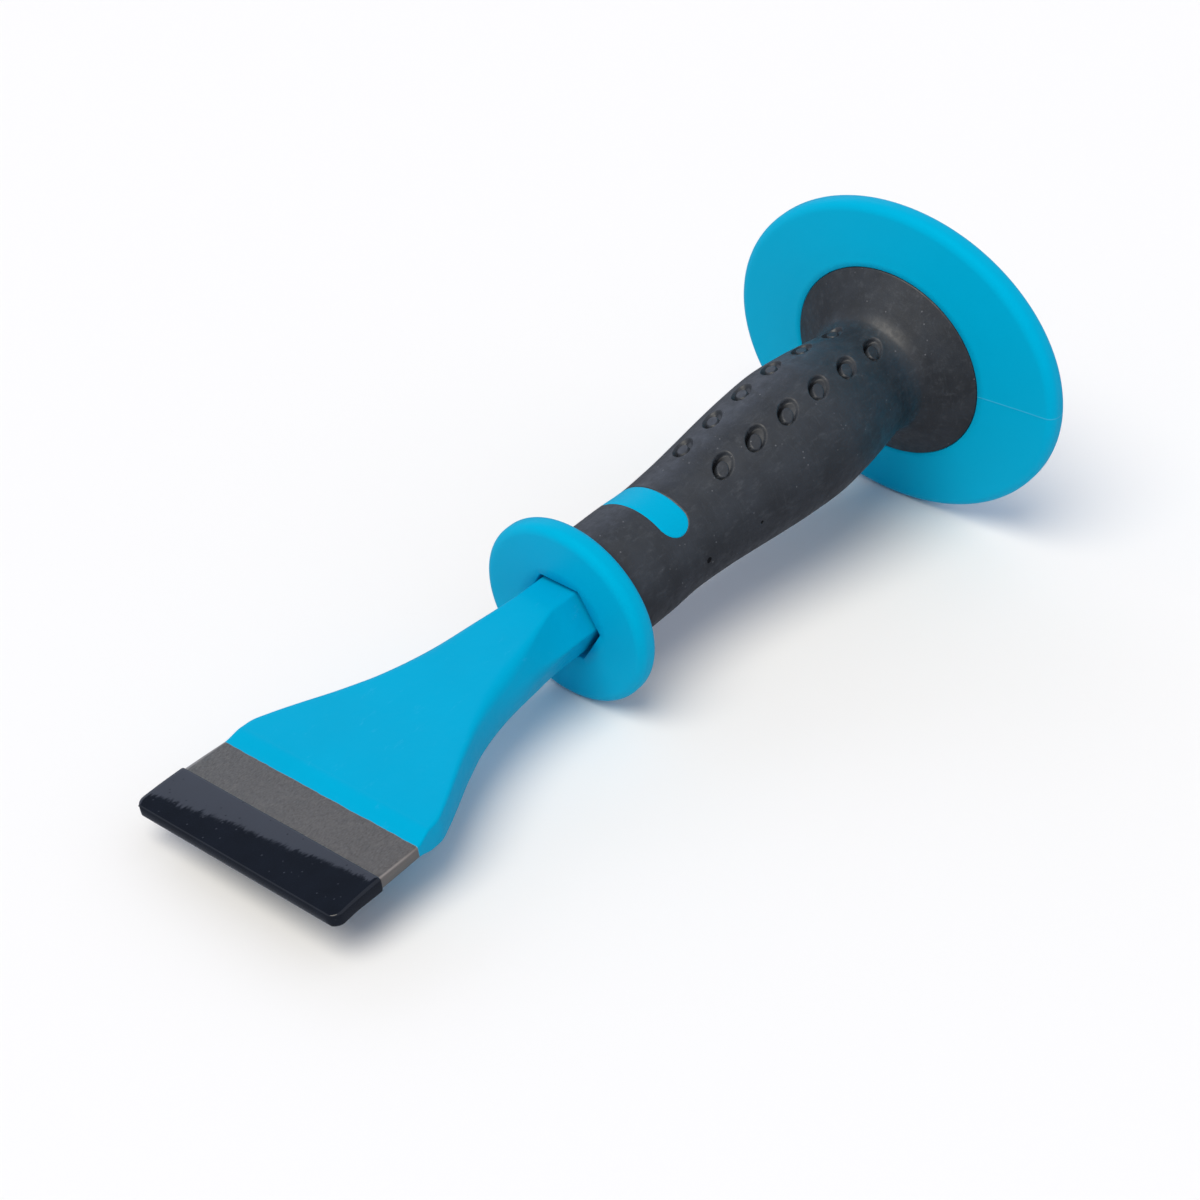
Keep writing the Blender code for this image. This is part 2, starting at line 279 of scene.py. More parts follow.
def finish_piece(piece, material, slot, *nodes):
    """Give a piece its material, tie it to the tool's body and let it stand for its solids."""
    piece.data.materials.append(material)
    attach(piece, BODY)
    if nodes:
        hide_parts(*nodes)


def node(tree, kind, inputs=None, **settings):
    """A shader node with its settings and inputs: an input is a socket to link or a value."""
    made = tree.nodes.new(kind)
    for name, value in settings.items():
        setattr(made, name, value)
    for name, value in (inputs or {}).items():
        if isinstance(value, bpy.types.NodeSocket):
            tree.links.new(value, made.inputs[name])
        else:
            made.inputs[name].default_value = value
    return made


def new_material(name):
    """A material with its node tree and its Principled shader."""
    made = bpy.data.materials.new(name)
    made.use_nodes = True
    return made, made.node_tree, made.node_tree.nodes["Principled BSDF"]


def tool_place(tree):
    """Object coordinates turned into the tool's frame, in millimetres."""
    back = TOOL.inverted()
    place = node(tree, "ShaderNodeTexCoord").outputs["Object"]
    mapping = node(tree, "ShaderNodeMapping", {"Vector": place})
    mapping.inputs["Scale"].default_value = (1 / MM,) * 3
    mapping.inputs["Rotation"].default_value = back.to_euler()
    mapping.inputs["Location"].default_value = back.translation / MM
    return mapping.outputs["Vector"]


def stretched(tree, place, scale):
    """The place with its three axes scaled, for grain that runs one way."""
    return node(tree, "ShaderNodeMapping", {"Vector": place, "Scale": scale}).outputs["Vector"]


def noise(tree, place, scale, detail=2.0, roughness=0.5):
    """Noise from 0 to 1 with the given number of features per millimetre."""
    made = node(tree, "ShaderNodeTexNoise", {"Vector": place, "Scale": scale, "Detail": detail,
                                             "Roughness": roughness})
    return made.outputs["Fac"]


def remap(tree, value, low, high, to_low=0.0, to_high=1.0, kind="SMOOTHSTEP"):
    """Carry a value from one range to another."""
    made = node(tree, "ShaderNodeMapRange", {"Value": value, "From Min": low, "From Max": high,
                                             "To Min": to_low, "To Max": to_high},
                interpolation_type=kind)
    return made.outputs["Result"]


def calculate(tree, operation, first, second=0.0):
    """One step of arithmetic."""
    made = tree.nodes.new("ShaderNodeMath")
    made.operation = operation
    for socket, value in zip(made.inputs, (first, second)):
        if isinstance(value, bpy.types.NodeSocket):
            tree.links.new(value, socket)
        else:
            socket.default_value = value
    return made.outputs[0]


def mix_colour(tree, share, first, second):
    """A colour between two, by share."""
    made = node(tree, "ShaderNodeMix", data_type="RGBA")
    for socket, value in ((made.inputs["Factor"], share), (made.inputs[6], first), (made.inputs[7], second)):
        if isinstance(value, bpy.types.NodeSocket):
            tree.links.new(value, socket)
        elif isinstance(value, float):
            socket.default_value = value
        else:
            socket.default_value = (*value, 1.0)
    return made.outputs[2]


def bumps(tree, shader, *layers):
    """Stack bump layers on a shader: each is a height, its distance in metres and its strength."""
    normal = None
    for height, distance, strength in layers:
        made = node(tree, "ShaderNodeBump", {"Height": height, "Distance": distance,
                                             "Strength": strength})
        if normal is not None:
            tree.links.new(normal, made.inputs["Normal"])
        normal = made.outputs["Normal"]
    tree.links.new(normal, shader.inputs["Normal"])


def scaled(colour, factor):
    """A colour made lighter or darker."""
    return tuple(min(part * factor, 1.0) for part in colour)


# ---------------------------------------------------------------- forged bar


def half_thickness(x, plate):
    """Half the bar's thickness: edge bevel, ground plate, ramp and then the forged guide curve."""
    bevel = EDGE_HALF + np.clip(x / EDGE_BEVEL, 0, 1) * (plate / 2 - EDGE_HALF)
    ramp = plate / 2 + ease(x, PLATE_END - 0.2, RAMP_END + 0.8) * (RAMP_HALF - plate / 2)
    forged = smooth_curve(x, HALF_THICKNESS)
    return np.where(x < PLATE_END - 0.2, bevel, np.where(x < RAMP_END, ramp, np.maximum(ramp, forged)))


def rounded_sections(x, half_width, thickness, ridge, top_fillet, ridge_fillet, per_corner=7, per_side=7):
    """Six-sided sections with rounded corners, as rings of points.

    A corner is a quadratic curve from a point before it to a point after it, at the fillet's
    distance; a side is straight between two corners, with points crowded towards its ends.
    """
    zero = np.zeros_like(x)
    wide = half_width + ridge
    corners_y = np.stack([wide, half_width, -half_width, -wide, -half_width, half_width], axis=1)
    corners_z = np.stack([zero, thickness, thickness, zero, -thickness, -thickness], axis=1)
    corner = np.stack([corners_y, corners_z], axis=-1)
    fillet = np.stack([ridge_fillet, top_fillet, top_fillet] * 2, axis=1)
    after = np.roll(corner, -1, axis=1) - corner
    before = np.roll(corner, 1, axis=1) - corner
    after_length = np.linalg.norm(after, axis=-1)
    before_length = np.linalg.norm(before, axis=-1)
    reach = np.minimum(fillet, 0.45 * np.minimum(after_length, before_length))
    start = corner + before * (reach / before_length)[..., None]
    end = corner + after * (reach / after_length)[..., None]
    t = np.linspace(0, 1, per_corner)[:, None]
    curve = ((1 - t) ** 2 * start[:, :, None] + 2 * t * (1 - t) * corner[:, :, None]
             + t * t * end[:, :, None])
    share = (0.5 - 0.5 * np.cos(np.linspace(0, math.pi, per_side + 2)))[1:-1, None]
    next_start = np.roll(start, -1, axis=1)
    side = end[:, :, None] * (1 - share) + next_start[:, :, None] * share
    ring = np.concatenate([curve, side], axis=2).reshape(len(x), -1, 2)
    along = np.broadcast_to(x[:, None, None], ring.shape[:2] + (1,))
    return np.concatenate([along, ring], axis=2)


def seat_in_handle(points):
    """Lift the blade towards its edge, and shift and turn the bar a little in the handle, as it sits."""
    x, y, z = np.moveaxis(points, -1, 0)
    y = y + SIDE_SHIFT * ease(x, 20, 80)
    z = z + RISE_SLOPE * np.maximum(RISE_START - x, 0)
    cos, sin = math.cos(BAR_TURN), math.sin(BAR_TURN)
    return np.stack([x, y * cos - z * sin, y * sin + z * cos], axis=-1)


def bar_surface(settings):
    """The bar's rings: sections carried along x, with a turned chamfer that clips the head's corners."""
    x = joined(np.linspace(0, 3.5, 8), np.linspace(3.5, 22.8, 14), np.linspace(22.8, 28.4, 29),
               np.linspace(28.4, 94, 90), np.linspace(94, 246, 40), np.linspace(246, LENGTH, 17))
    shank = millimetres(settings.across_flats) / 2
    scale = shank / GUIDE_HALF_FLATS
    half_width = smooth_curve(x, HALF_WIDTH)
    thickness = half_thickness(x, millimetres(settings.plate_thickness))
    ridge = smooth_curve(x, RIDGE)
    in_shank = ease(x, SHANK_START - 12, SHANK_START)
    grow = 1 + (scale - 1) * in_shank
    rings = rounded_sections(x, half_width * grow, thickness * grow, ridge * grow,
                             smooth_curve(x, TOP_FILLET), smooth_curve(x, RIDGE_FILLET))
    reach = np.hypot(rings[..., 1], rings[..., 2])
    chamfer = np.clip(rings[..., 0] - (LENGTH - HEAD_CHAMFER), 0, None)
    limit = shank * HEAD_REACH - HEAD_CURVE * chamfer ** 2
    clip = np.where(chamfer > 0, np.minimum(1, limit / reach), 1)
    rings[..., 1:] *= clip[..., None]
    return seat_in_handle(rings)


def bar_material(settings):
    """Satin paint over a forging, with a bare ground band behind the edge and a bare struck face."""
    made, tree, shader = new_material("blue_paint_on_forging")
    place = tool_place(tree)
    parts = node(tree, "ShaderNodeSeparateXYZ", {"Vector": place}).outputs
    x = parts["X"]
    wander = remap(tree, noise(tree, place, 0.35, 3), 0, 1, -0.25, 0.25, "LINEAR")
    line = calculate(tree, "ADD", x, wander)
    painted = calculate(tree, "MULTIPLY", remap(tree, line, PLATE_END - 0.12, PLATE_END + 0.12),
                        remap(tree, line, LENGTH - 2.6, LENGTH - 2.2, 1.0, 0.0))
    mottle = noise(tree, place, 0.06, 3)
    paint = mix_colour(tree, mottle, scaled(settings.paint, 0.95), scaled(settings.paint, 1.05))
    drag = noise(tree, stretched(tree, place, (0.16, 0.55, 0.3)), 1.0, 6, 0.75)
    scuff = remap(tree, drag, 0.60, 0.70, 0.0, 0.3)
    paint = mix_colour(tree, scuff, paint, (0.03, 0.42, 0.70))
    grain = noise(tree, stretched(tree, place, (1.2, 5.0, 2.0)), 1.0, 4, 0.7)
    speckle = noise(tree, place, 2.4, 4, 0.75)
    steel = mix_colour(tree, remap(tree, grain, 0.3, 0.7), scaled(settings.steel, 0.72),
                       scaled(settings.steel, 1.28))
    steel = mix_colour(tree, remap(tree, speckle, 0.50, 0.72, 0.0, 0.6), steel, (0.10, 0.082, 0.068))
    pale = remap(tree, noise(tree, place, 3.1, 2, 0.6), 0.62, 0.72, 0.0, 0.5)
    steel = mix_colour(tree, pale, steel, (0.34, 0.32, 0.30))
    # Painted highlight: the bare steel on the plate's side faces is made much lighter.
    side = remap(tree, calculate(tree, "ABSOLUTE", parts["Y"]), 27.4, 27.9, 0.0, 0.8)
    steel = mix_colour(tree, side, steel, scaled(settings.steel, 2.2))
    tree.links.new(mix_colour(tree, painted, steel, paint), shader.inputs["Base Color"])
    tree.links.new(remap(tree, painted, 0, 1, 0.85, 0.0, "LINEAR"), shader.inputs["Metallic"])
    paint_rough = remap(tree, noise(tree, place, 0.5, 4), 0.3, 0.7, 0.36, 0.46)
    steel_rough = remap(tree, grain, 0.3, 0.7, 0.42, 0.58)
    rough = node(tree, "ShaderNodeMix", {"Factor": painted}, data_type="FLOAT")
    tree.links.new(steel_rough, rough.inputs[2])
    tree.links.new(paint_rough, rough.inputs[3])
    tree.links.new(rough.outputs[0], shader.inputs["Roughness"])
    shader.inputs["Specular IOR Level"].default_value = GLOSS_LEVEL
    shader.inputs["Specular Tint"].default_value = GLOSS_TINT
    bare = calculate(tree, "SUBTRACT", 1.0, painted)
    bumps(tree, shader,
          (noise(tree, place, 0.09, 2), 0.0004, 0.35),
          (calculate(tree, "MULTIPLY", noise(tree, place, 0.9, 3), painted), 0.00004, 0.5),
          (scuff, 0.00008, 0.6),
          (calculate(tree, "MULTIPLY", grain, bare), 0.00004, 0.6),
          (painted, 0.00008, 1.0))
    return made


# ---------------------------------------------------------------- protective dip


# The dip's corners in plan, its nose in section, its wall and drip at the edge, how much its faces
# crown, its lip's length and the room between its pocket and the steel.
PLAN_RADIUS = 2.7
NOSE_RADIUS = 1.5
NOSE_WALL = 0.8
DRIP = 0.7
CROWN = 0.010
LIP = 0.5
POCKET_ROOM = 0.03


def round_off(share):
    """The height of a quarter circle over a share of its radius, from 0 at nothing to 1 beyond it."""
    return np.sqrt(1 - np.clip(1 - share, 0, 1) ** 2)


def dip_surface(bar, dip):
    """The dip: the bar's sections grown by a crowned wall, with round tips and a drip under the edge.

    Going out along the outer skin and back along the inner pocket closes it.
    """
    wall = millimetres(dip.wall)
    plate = millimetres(bar.plate_thickness)
    tip = -NOSE_WALL
    end = millimetres(dip.depth)
    lip_start = end - LIP
    x = joined(tip + np.linspace(0, 1, 16) ** 2 * 2.6, np.linspace(2.2, lip_start, 34),
               lip_start + LIP * np.sin(np.linspace(0, math.pi / 2, 7)))
    from_tip = x - tip
    pull = PLAN_RADIUS * (1 - round_off(from_tip / PLAN_RADIUS))
    lip = 1 - round_off(1 - (x - lip_start) / LIP)
    grown = wall * (1 - 0.85 * lip)
    thick = plate / 2 + grown - 0.5 * CROWN * np.clip(lip_start - x, 0, None) ** 2
    thick = np.minimum(thick, NOSE_RADIUS * round_off(from_tip / NOSE_RADIUS) + 0.1 * from_tip + 0.012)
    wide = smooth_curve(np.clip(x, 0, None), HALF_WIDTH) + grown - pull
    ones = np.ones_like(x)
    outer = rounded_sections(x, wide, thick, 0.1 * ones, 0.95 * ones, 0.6 * ones, per_side=19)
    back = np.concatenate([np.linspace(end, EDGE_BEVEL, 6), np.linspace(EDGE_BEVEL, -POCKET_ROOM, 4)[1:]])
    ones = np.ones_like(back)
    inner = rounded_sections(back, smooth_curve(back, HALF_WIDTH) + POCKET_ROOM,
                             half_thickness(back, plate) + POCKET_ROOM, 0.1 * ones,
                             0.3 * ones, 0.5 * ones, per_side=19)
    y = outer[..., 1]
    ripple = 0.012 * np.sin(y * 0.23 - outer[..., 0] * 0.25) + 0.003 * np.sin(y * 0.8 + 0.9)
    outer[..., 2] += np.sign(outer[..., 2]) * ripple * ease(np.abs(outer[..., 2]), 0.3, 1.2)
    hang = DRIP * np.exp(-(np.clip(outer[..., 0] - 0.8, 0, None) / 3.2) ** 2)
    outer[..., 2] -= hang * ease(-outer[..., 2], -0.6, 1.2)
    return seat_in_handle(np.concatenate([outer, inner]))


def dip_material(settings):
    """Thick glossy blue-black dip: a wavy mirror with a few tiny bubbles and dust nibs."""
    made, tree, shader = new_material("glossy_black_dip")
    place = tool_place(tree)
    tone = mix_colour(tree, noise(tree, place, 0.2, 3), scaled(settings.colour, 0.7),
                      scaled(settings.colour, 1.5))
    tree.links.new(tone, shader.inputs["Base Color"])
    tree.links.new(remap(tree, noise(tree, place, 0.9, 4), 0.35, 0.75, 0.02, 0.045),
                   shader.inputs["Roughness"])
    shader.inputs["IOR"].default_value = 1.5
    nib = node(tree, "ShaderNodeTexVoronoi", {"Vector": place, "Scale": 0.5}).outputs["Distance"]
    bumps(tree, shader,
          (noise(tree, stretched(tree, place, (0.2, 0.45, 0.3)), 1.0, 3), 0.00004, 0.2),
          (remap(tree, nib, 0.0, 0.12, 1.0, 0.0), 0.00003, 0.6))
    return made


# ---------------------------------------------------------------- rigid core


def oval_rings(x, half_width, half_height, count):
    """Rings of an oval: y is the half width times the cosine, z the half height times the sine."""
    angle = np.arange(count) * 2 * math.pi / count
    columns = (np.asarray(values, float)[:, None] for values in (x, half_width, half_height))
    along, wide, high = np.broadcast_arrays(*columns)
    parts = np.broadcast_arrays(along, wide * np.cos(angle), high * np.sin(angle))
    return np.stack(parts, axis=-1)


def hexagon_rings(x, across_flats, count):
    """Rings of a hexagon with level flats, as a polar curve clipped to slightly rounded corners."""
    angle = np.arange(count) * 2 * math.pi / count
    radius = 0.5 / np.cos(angle % (math.pi / 3) - math.pi / 6)
    radius = np.minimum(radius, 0.5 * 1.148)
    x, across_flats = np.broadcast_arrays(np.asarray(x, float), np.asarray(across_flats, float))
    rings = np.empty(x.shape + (count, 3))
    rings[..., 0] = x[..., None]
    rings[..., 1] = across_flats[..., None] * radius * np.cos(angle)
    rings[..., 2] = across_flats[..., None] * radius * np.sin(angle)
    return rings


def rim_path(x, half, radius, corner, steps=10):
    """A disc's rim from front to back as distances along x and inset from the edge: two quarter turns."""
    turn = np.linspace(0, math.pi / 2, steps)
    front_x = x - (half - corner) - corner * np.cos(turn)
    back_x = x + (half - corner) + corner * np.cos(turn[::-1])
    inset = corner * (1 - np.sin(turn))
    return np.concatenate([front_x, back_x]), np.concatenate([inset, inset[::-1]])


def core_surface(settings):
    """The core's rings, from the mouth over collar, tube and guard and back through the bore."""
    count = settings.segments
    face = COLLAR_X - COLLAR_HALF
    trumpet_x = SLEEVE_RADIUS[-1][0]
    trumpet_wide, trumpet_high = (float(half) + 0.12 for half in sleeve_half_axes(trumpet_x))
    floor_x = trumpet_x + FLANGE + GAP
    guard_face = GUARD_X - GUARD_HALF
    guard_back = GUARD_X + GUARD_HALF
    mouth = hexagon_rings([face + 0.35, face + 0.1, face - 0.08],
                          [MOUTH_FLATS, MOUTH_FLATS + 0.12, MOUTH_FLATS + 0.5], count)
    dome_r = np.linspace(12.5, COLLAR_RADIUS - COLLAR_CORNER, 9)[:-1]
    dome_x = face - 0.25 * (1 - (dome_r / (COLLAR_RADIUS - COLLAR_CORNER)) ** 2)
    dome = oval_rings(dome_x, dome_r, dome_r, count)
    rim_x, inset = rim_path(COLLAR_X, COLLAR_HALF, COLLAR_RADIUS, COLLAR_CORNER)
    collar = oval_rings(rim_x, COLLAR_RADIUS - inset, COLLAR_RADIUS - inset, count)
    tube_x = np.linspace(COLLAR_X + COLLAR_HALF, floor_x, 24)
    tube = oval_rings(tube_x, smooth_curve(tube_x, TUBE_RADIUS), smooth_curve(tube_x, TUBE_RADIUS), count)
    recess = oval_rings([floor_x, trumpet_x + 0.25, trumpet_x + 0.03],
                        trumpet_wide + np.array([0, 0, 0.2]), trumpet_high + np.array([0, 0, 0.2]), count)
    share = np.linspace(0, 1, 10)[1:-1]
    face_x = trumpet_x + (guard_face - trumpet_x) * ease(share, -0.3, 1.15)
    face_wide = trumpet_wide + (GUARD_HALF_WIDTH - GUARD_CORNER - trumpet_wide) * share
    face_high = trumpet_high + (GUARD_HALF_HEIGHT - GUARD_CORNER - trumpet_high) * share
    guard_front = oval_rings(face_x, face_wide, face_high, count)
    rim_x, inset = rim_path(GUARD_X, GUARD_HALF, GUARD_HALF_WIDTH, GUARD_CORNER)
    guard = oval_rings(rim_x, GUARD_HALF_WIDTH - inset, GUARD_HALF_HEIGHT - inset, count)
    hub = oval_rings([guard_back, guard_back], [30.0, 13.5], [26.5, 13.5], count)
    bore = hexagon_rings([guard_back, guard_back - 0.4, face + MOUTH_DEPTH + 1, face + MOUTH_DEPTH],
                         [BORE_FLATS + 0.5, BORE_FLATS, BORE_FLATS, MOUTH_FLATS], count)
    return np.concatenate([mouth, dome, collar, tube, recess, guard_front, guard, hub, bore])


def moulding_material(name, colour):
    """Satin blue moulding: faint flow marks, fine moulded grain and a thin parting line at mid height."""
    made, tree, shader = new_material(name)
    place = tool_place(tree)
    flow = noise(tree, stretched(tree, place, (0.05, 0.02, 0.02)), 1.0, 3)
    tone = mix_colour(tree, flow, scaled(colour, 0.96), scaled(colour, 1.04))
    parts = node(tree, "ShaderNodeSeparateXYZ", {"Vector": place}).outputs
    distance = calculate(tree, "ABSOLUTE", parts["Z"])
    line = remap(tree, distance, 0.05, 0.22, 1.0, 0.0)
    outward = remap(tree, parts["Y"], -26.5, -25.5, 1.0, 0.0)
    line = calculate(tree, "MULTIPLY", line, outward)
    tone = mix_colour(tree, calculate(tree, "MULTIPLY", line, 0.3), tone, (0.12, 0.5, 0.74))
    tree.links.new(tone, shader.inputs["Base Color"])
    tree.links.new(remap(tree, noise(tree, place, 0.8, 4), 0.3, 0.7, 0.38, 0.48),
                   shader.inputs["Roughness"])
    shader.inputs["Specular IOR Level"].default_value = GLOSS_LEVEL
    shader.inputs["Specular Tint"].default_value = GLOSS_TINT
    bumps(tree, shader,
          (noise(tree, place, 0.04, 2), 0.0005, 0.25),
          (noise(tree, place, 3.0, 3), 0.00002, 0.5),
          (line, 0.00006, 0.8))
    return made


# ---------------------------------------------------------------- soft sleeve


def sleeve_half_axes(x):
    """The sleeve's half axes along y and z at x."""
    radius = smooth_curve(x, SLEEVE_RADIUS)
    wider = 1 + SLEEVE_WIDENING * np.clip((np.asarray(x, float) - COLLAR_X) / WIDENING_LENGTH, 0, 1)
    return radius * wider, radius


# Each dimple is a slanted oval recess with an oval button standing in it. Its sides are half lengths
# and half widths on the unrolled surface, and it leans from the axis towards +y by an angle.
DIMPLE_START = 147.0
DIMPLE_PITCH = 11.4
DIMPLE_ANGLE = math.radians(23)
RECESS_SIZE = (4.1, 2.35)
RECESS_LEAN = math.radians(28)
BUTTON_SIZE = (2.15, 1.4)
BUTTON_LEAN = math.radians(40)
BUTTON_SHIFT = (-0.85, -0.65)


def oval_reach(along, across, size, lean):
    """Distance from a leaning oval's centre, as a share of the distance to its outline."""
    cos, sin = math.cos(lean), math.sin(lean)
    return np.hypot((along * cos + across * sin) / size[0], (across * cos - along * sin) / size[1])


def dimple_depths(x, angle, settings):
    """How far the dimples sink the surface, from 0 to 1: an oval recess, less a flat oval button.

    The recess has a steep side towards the blade and +y, and slopes up away from it. Distances are
    measured on the unrolled surface: along x, and the angle times the radius.
    """
    depth = np.zeros_like(x)
    radius = smooth_curve(x, SLEEVE_RADIUS)
    for side in (-1, 1):
        for i in range(settings.dimple_count):
            along = x - (DIMPLE_START + i * DIMPLE_PITCH)
            across = (side * DIMPLE_ANGLE - angle) * radius
            reach = oval_reach(along, across, RECESS_SIZE, RECESS_LEAN)
            button = oval_reach(along - BUTTON_SHIFT[0], across - BUTTON_SHIFT[1], BUTTON_SIZE, BUTTON_LEAN)
            slope = ease(0.62 * across - 0.78 * along, -3.2, 1.6)
            recess = (0.3 + 0.7 * slope) * ease(1 - reach, 0.0, 0.13)
            depth += recess * ease(button, 0.98, 1.2)
    return depth


def pad_depths(x, angle):
    """How far the pad's seat sinks the surface: a pill on the unrolled surface, a little tight."""
    radius = float(smooth_curve(PAD_X, SLEEVE_RADIUS))
    arc = np.abs(angle) * radius
    past = np.clip(arc - (PAD_HALF_ARC - PAD_HALF_WIDTH), 0, None)
    reach = np.hypot(x - PAD_X, past)
    side = PAD_HALF_WIDTH - PAD_PINCH
    return PAD_SEAT_DEPTH * ease(-reach, -(side + 0.12), -(side - 0.12))


# The sleeve's rounded front corner, the half angle that has the fine grid, and its inner rings.
FRONT_ROUND = 1.1
FINE_ANGLE = math.radians(54)
INNER_RINGS = 16


def sleeve_surface(settings):
    """The sleeve's rings and how deep each point lies in a dimple.

    The outside is the guide radius less the dimples, the pad's seat and the front corner's round;
    a lip and the inside follow.
    """
    start = SLEEVE_RADIUS[0][0]
    end = SLEEVE_RADIUS[-1][0]
    x = joined(start + FRONT_ROUND * (1 - np.cos(np.linspace(0, math.pi / 2, 8))), np.linspace(105, 121, 12),
               np.linspace(121, 132, 48), np.linspace(132, 142, 10), np.linspace(142, 209, 300),
               np.linspace(209, end - 0.4, 22), end - 0.4 * np.cos(np.linspace(0, math.pi / 2, 5)))
    angle = np.concatenate([np.linspace(-FINE_ANGLE, FINE_ANGLE, 131),
                            np.linspace(FINE_ANGLE, 2 * math.pi - FINE_ANGLE, 66)[1:-1]])
    turned = np.where(angle > math.pi, angle - 2 * math.pi, angle)
    grid_x, grid_angle = np.meshgrid(x, turned, indexing="ij")
    wide, high = sleeve_half_axes(grid_x)
    recessed = dimple_depths(grid_x, grid_angle, settings)
    sunk = millimetres(settings.dimple_depth) * recessed + pad_depths(grid_x, grid_angle)
    sunk = sunk + FRONT_ROUND * (1 - round_off((grid_x - start) / FRONT_ROUND))
    outer = np.stack([grid_x, (wide - sunk) * np.sin(-grid_angle), (high - sunk) * np.cos(grid_angle)], -1)
    back = end + FLANGE
    lip_wide, lip_high = sleeve_half_axes(end)
    lip = np.stack([np.full(angle.shape, back), lip_wide * np.sin(-angle), lip_high * np.cos(angle)], -1)
    inner_x = np.linspace(back, start, INNER_RINGS)
    radius = smooth_curve(inner_x, TUBE_RADIUS)[:, None] + GAP
    inner = np.stack([np.broadcast_to(inner_x[:, None], (INNER_RINGS, len(angle))), radius * np.sin(-angle),
                      radius * np.cos(angle)], -1)
    return np.concatenate([outer, lip[None], inner]), np.pad(recessed, ((0, 1 + INNER_RINGS), (0, 0)))


# Two small round marks where the rubber was let into its mould: centre and radius.
GATE_MARKS = (((131.2, -13.87, 0.24), 0.75), ((148.7, -15.18, 0.52), 0.42))

# Painted shade behind the collar fades out between these two places along x.
COLLAR_SHADE_DARK = 103.5
COLLAR_SHADE_CLEAR = 110.0


def distance_from(tree, place, centre):
    """Distance of the place from a point."""
    made = node(tree, "ShaderNodeVectorMath", operation="DISTANCE")
    tree.links.new(place, made.inputs[0])
    made.inputs[1].default_value = centre
    return made.outputs["Value"]


def rubber_material(settings):
    """Matt charcoal rubber: cloudy tone, dust specks, rubbed streaks, moulded grain and gate marks.

    Shade is painted into its colour: it is darkened towards near-black inside the dimples and in the corner
    behind the collar, with less gloss there.
    """
    made, tree, shader = new_material("charcoal_rubber")
    place = tool_place(tree)
    parts = node(tree, "ShaderNodeSeparateXYZ", {"Vector": place}).outputs
    cloud = noise(tree, place, 0.12, 4, 0.6)
    tone = mix_colour(tree, remap(tree, cloud, 0.3, 0.7), scaled(settings.colour, 0.8),
                      scaled(settings.colour, 1.3))
    smear = noise(tree, stretched(tree, place, (0.25, 0.6, 0.6)), 1.0, 5, 0.7)
    haze = remap(tree, smear, 0.50, 0.78, 0.0, 0.7)
    tone = mix_colour(tree, haze, tone, (0.05, 0.056, 0.066))
    rubbed = noise(tree, stretched(tree, place, (0.9, 0.35, 0.12)), 1.0, 6, 0.85)
    tone = mix_colour(tree, remap(tree, rubbed, 0.52, 0.72, 0.0, 0.55), tone, (0.045, 0.052, 0.062))
    fleck = node(tree, "ShaderNodeTexVoronoi", {"Vector": place, "Scale": 0.45}).outputs["Distance"]
    chosen = remap(tree, noise(tree, place, 0.31, 2), 0.47, 0.57)
    dust = calculate(tree, "MULTIPLY", remap(tree, fleck, 0.06, 0.11, 1.0, 0.0), chosen)
    tone = mix_colour(tree, calculate(tree, "MULTIPLY", dust, 0.6), tone, (0.16, 0.165, 0.18))
    gates = calculate(tree, "MAXIMUM", *(
        remap(tree, distance_from(tree, place, centre), radius - 0.15, radius + 0.1, 1.0, 0.0)
        for centre, radius in GATE_MARKS))
    # Painted shade: the deeper parts of the dimples and the rubber next to the collar's back are darkened as
    # if shaded; the gate marks are real dark marks that join them.
    recessed = node(tree, "ShaderNodeAttribute", attribute_name="recessed").outputs["Fac"]
    corner = remap(tree, parts["X"], COLLAR_SHADE_DARK, COLLAR_SHADE_CLEAR, 0.9, 0.0)
    shade_and_gate_marks = calculate(tree, "MAXIMUM", remap(tree, recessed, 0.5, 1.0), corner)
    shade_and_gate_marks = calculate(tree, "MAXIMUM", shade_and_gate_marks, gates)
    tone = mix_colour(tree, calculate(tree, "MULTIPLY", shade_and_gate_marks, 0.85), tone, (0.002, 0.002, 0.003))
    tree.links.new(tone, shader.inputs["Base Color"])
    tree.links.new(remap(tree, noise(tree, place, 0.4, 5, 0.65), 0.3, 0.7, 0.40, 0.60),
                   shader.inputs["Roughness"])
    # The gloss drops where the shade is painted and on the gate marks.
    tree.links.new(remap(tree, shade_and_gate_marks, 0, 1, 0.66, 0.08, "LINEAR"), shader.inputs["Specular IOR Level"])
    line = remap(tree, calculate(tree, "ABSOLUTE", parts["Z"]), 0.05, 0.25, 1.0, 0.0)
    bumps(tree, shader,
          (noise(tree, place, 0.15, 2), 0.0003, 0.3),
          (noise(tree, place, 1.5, 4, 0.6), 0.00006, 0.5),
          (noise(tree, place, 4.0, 3), 0.00003, 0.6),
          (line, 0.00004, 0.35),
          (calculate(tree, "SUBTRACT", 1.0, gates), 0.0003, 1.0),
          (dust, 0.00004, 0.5))
    return made


